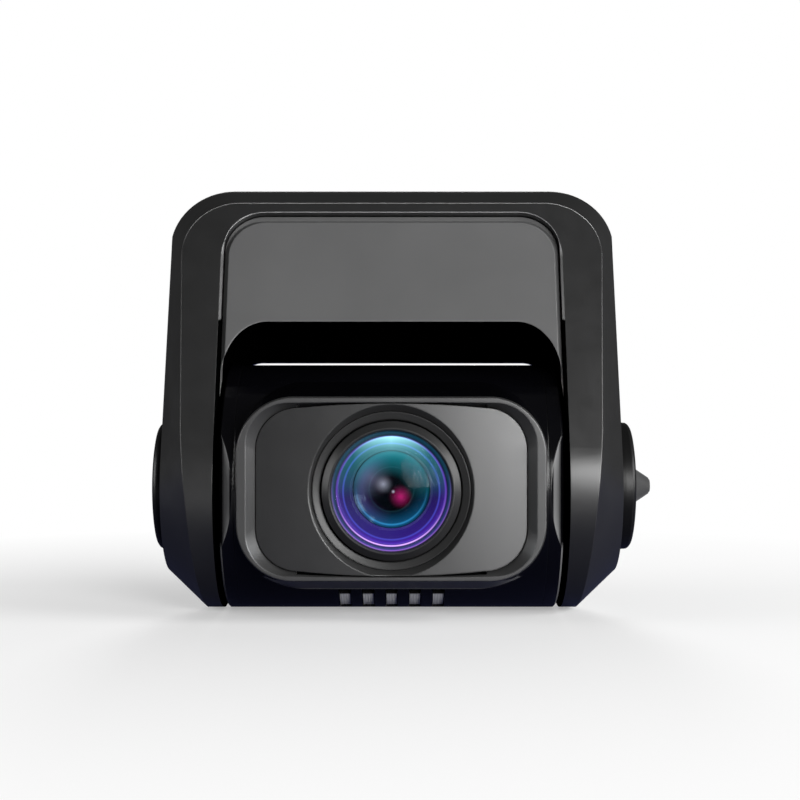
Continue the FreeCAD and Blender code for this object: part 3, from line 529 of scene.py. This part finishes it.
def paint_lens():
    trim = plastic("trim_grey", grey(0.014), grey(0.03), 0.36, 9000.0, 0.000006, spec=0.3)
    paint(["lens_trim_ring", "lens_front_ring"], trim)
    paint(["lens_barrel"], lens_bore())
    paint(["lens_front_element"], front_glass())
    paint(["lens_element_second"], second_glass())
    inner_glass = coated_glass("inner_glass", (0.8, 0.95, 0.95, 1), 540.0)
    paint(["lens_element_third", "lens_element_rear"], inner_glass)
    paint(["ir_filter"], coated_glass("filter_glass", (0.6, 0.9, 0.85, 1), 600.0))
    paint(["lens_lock_ring", "aperture_stop"], metal("anodised", grey(0.02), 0.35, 3000.0))


def paint_hardware():
    """Screws, springs, bushes, rubber pieces and electronics."""
    plated = metal("plated", grey(0.55), 0.3, 3000.0)
    dark_steel = metal("dark_steel", grey(0.05), 0.38, 3000.0)
    spring_steel = metal("spring_steel", grey(0.4), 0.3, 3500.0)
    natural = plastic("natural", (0.6, 0.58, 0.5, 1), (0.7, 0.68, 0.6, 1), 0.5, 4000.0, 0.00001)
    chip = plastic("chip", grey(0.02), grey(0.05), 0.6, 12000.0, 0.00002)
    paint(["retaining_washer", "pivot_screw", "head_screws", "board_screws", "lens_holder_screws",
           "card_socket", "microphone", "buffer_capacitor"], plated)
    paint(["rear_cover_screws", "end_cap_screws"], dark_steel)
    paint(["disc_spring", "retaining_clip"], spring_steel)
    paint(["pivot_bush_left", "pivot_bush_right", "board_connector", "lead_connector"], natural)
    paint(["lens_holder", "speaker", "memory_card", "processor_chip", "memory_chip", "small_components",
           "image_sensor"], chip)
    paint(["sensor_board", "main_board"], circuit_board())
    paint(["lead", "cable_boot"], rubber("black_rubber", grey(0.014)))
    paint(["friction_washer_left", "friction_washer_right"], rubber("washer_rubber", grey(0.02), 0.85))


# ---- stage ----
def floor_material():
    """White paper: shaded near the object and pure white further off; in reflections a painted shade makes
    it dark navy near the object and pale further ahead.
    """
    g = Graph("floor_paper")
    x, y, z = g.offsets(PIVOT)
    away = g.reach(x, y)
    g.set(base=g.mix(g.patches(6.0), grey(0.93), grey(0.9)), rough=0.9, spec=0.1)
    far = g.spread(away, 0.03, 0.13, 0.3, 1.0)
    seen = g.blend(far, g.shader.outputs[0], g.glow(grey(1.0), 1.0))
    # painted shade seen only in reflections: dark navy near the object, pale grey ahead of it
    ahead = g.spread(g.math("DIVIDE", y, away), -0.6, -0.95)
    bright = g.times(g.spread(away, 0.030, 0.065), ahead)
    mirrored = g.node("ShaderNodeBsdfDiffuse")
    g.link(g.mix(bright, (0.05, 0.055, 0.13, 1), (0.50, 0.50, 0.52, 1)), mirrored.inputs["Color"])
    path = g.node("ShaderNodeLightPath")
    return g.finish([g.blend(path.outputs["Is Camera Ray"], mirrored.outputs[0], seen)])


def make_floor():
    """A wide square just under the object."""
    level = cad_low.z - FLOOR_GAP
    corners = [(-1, -1), (1, -1), (1, 1), (-1, 1)]
    mesh = bpy.data.meshes.new("floor")
    mesh.from_pydata([(x * FLOOR_SIZE, y * FLOOR_SIZE, level) for x, y in corners], [], [(0, 1, 2, 3)])
    mesh.materials.append(floor_material())
    floor = bpy.data.objects.new("floor", mesh)
    bpy.context.scene.collection.objects.link(floor)


def make_world():
    """White behind the object, a dim grey room in reflections."""
    world = bpy.data.worlds.new("studio")
    bpy.context.scene.world = world
    world.use_nodes = True
    tree = world.node_tree
    room = tree.nodes["Background"]
    room.inputs["Color"].default_value = grey(1.0)
    room.inputs["Strength"].default_value = ROOM_LIGHT
    paper = tree.nodes.new("ShaderNodeBackground")
    paper.inputs["Color"].default_value = grey(1.0)
    paper.inputs["Strength"].default_value = 1.0
    path = tree.nodes.new("ShaderNodeLightPath")
    choose = tree.nodes.new("ShaderNodeMixShader")
    tree.links.new(path.outputs["Is Camera Ray"], choose.inputs[0])
    tree.links.new(room.outputs[0], choose.inputs[1])
    tree.links.new(paper.outputs[0], choose.inputs[2])
    tree.links.new(choose.outputs[0], tree.nodes["World Output"].inputs["Surface"])


def soft_box(name, place, width, height, power):
    """Area light at a place given from the pivot, aimed at the object's middle."""
    light = bpy.data.lights.new(name, "AREA")
    light.shape = "RECTANGLE"
    light.size = width
    light.size_y = height
    light.energy = power
    lamp = bpy.data.objects.new(name, light)
    lamp.location = PIVOT + Vector(place)
    aim = PIVOT + Vector((0.0, 0.0, 0.01))
    lamp.rotation_euler = (aim - lamp.location).to_track_quat("-Z", "Y").to_euler()
    bpy.context.scene.collection.objects.link(lamp)


def make_lights():
    soft_box("key_right", (0.47, -0.18, 0.15), 0.30, 0.28, 3.2)
    soft_box("front_high", (0.15, -0.45, 0.15), 0.16, 0.10, 0.8)
    soft_box("front_right", (0.24, -0.46, 0.06), 0.24, 0.12, 1.9)
    soft_box("left", (-0.48, -0.08, 0.12), 0.24, 0.24, 1.25)
    soft_box("rear", (0.0, 0.52, 0.09), 0.12, 0.15, 2.2)


def make_camera():
    """Level camera straight in front, a little above the pivot."""
    data = bpy.data.cameras.new("camera")
    data.lens = CAMERA_LENS
    data.sensor_width = SENSOR_WIDTH
    data.clip_start = 0.005
    data.clip_end = 20.0
    camera = bpy.data.objects.new("camera", data)
    camera.location = CAMERA_PLACE
    camera.rotation_euler = (math.radians(90), 0, 0)
    bpy.context.scene.collection.objects.link(camera)
    bpy.context.scene.camera = camera


paint_bracket()
paint_head()
paint_lens()
paint_hardware()
make_floor()
make_world()
make_lights()
make_camera()
bpy.context.scene.view_settings.view_transform = "Standard"
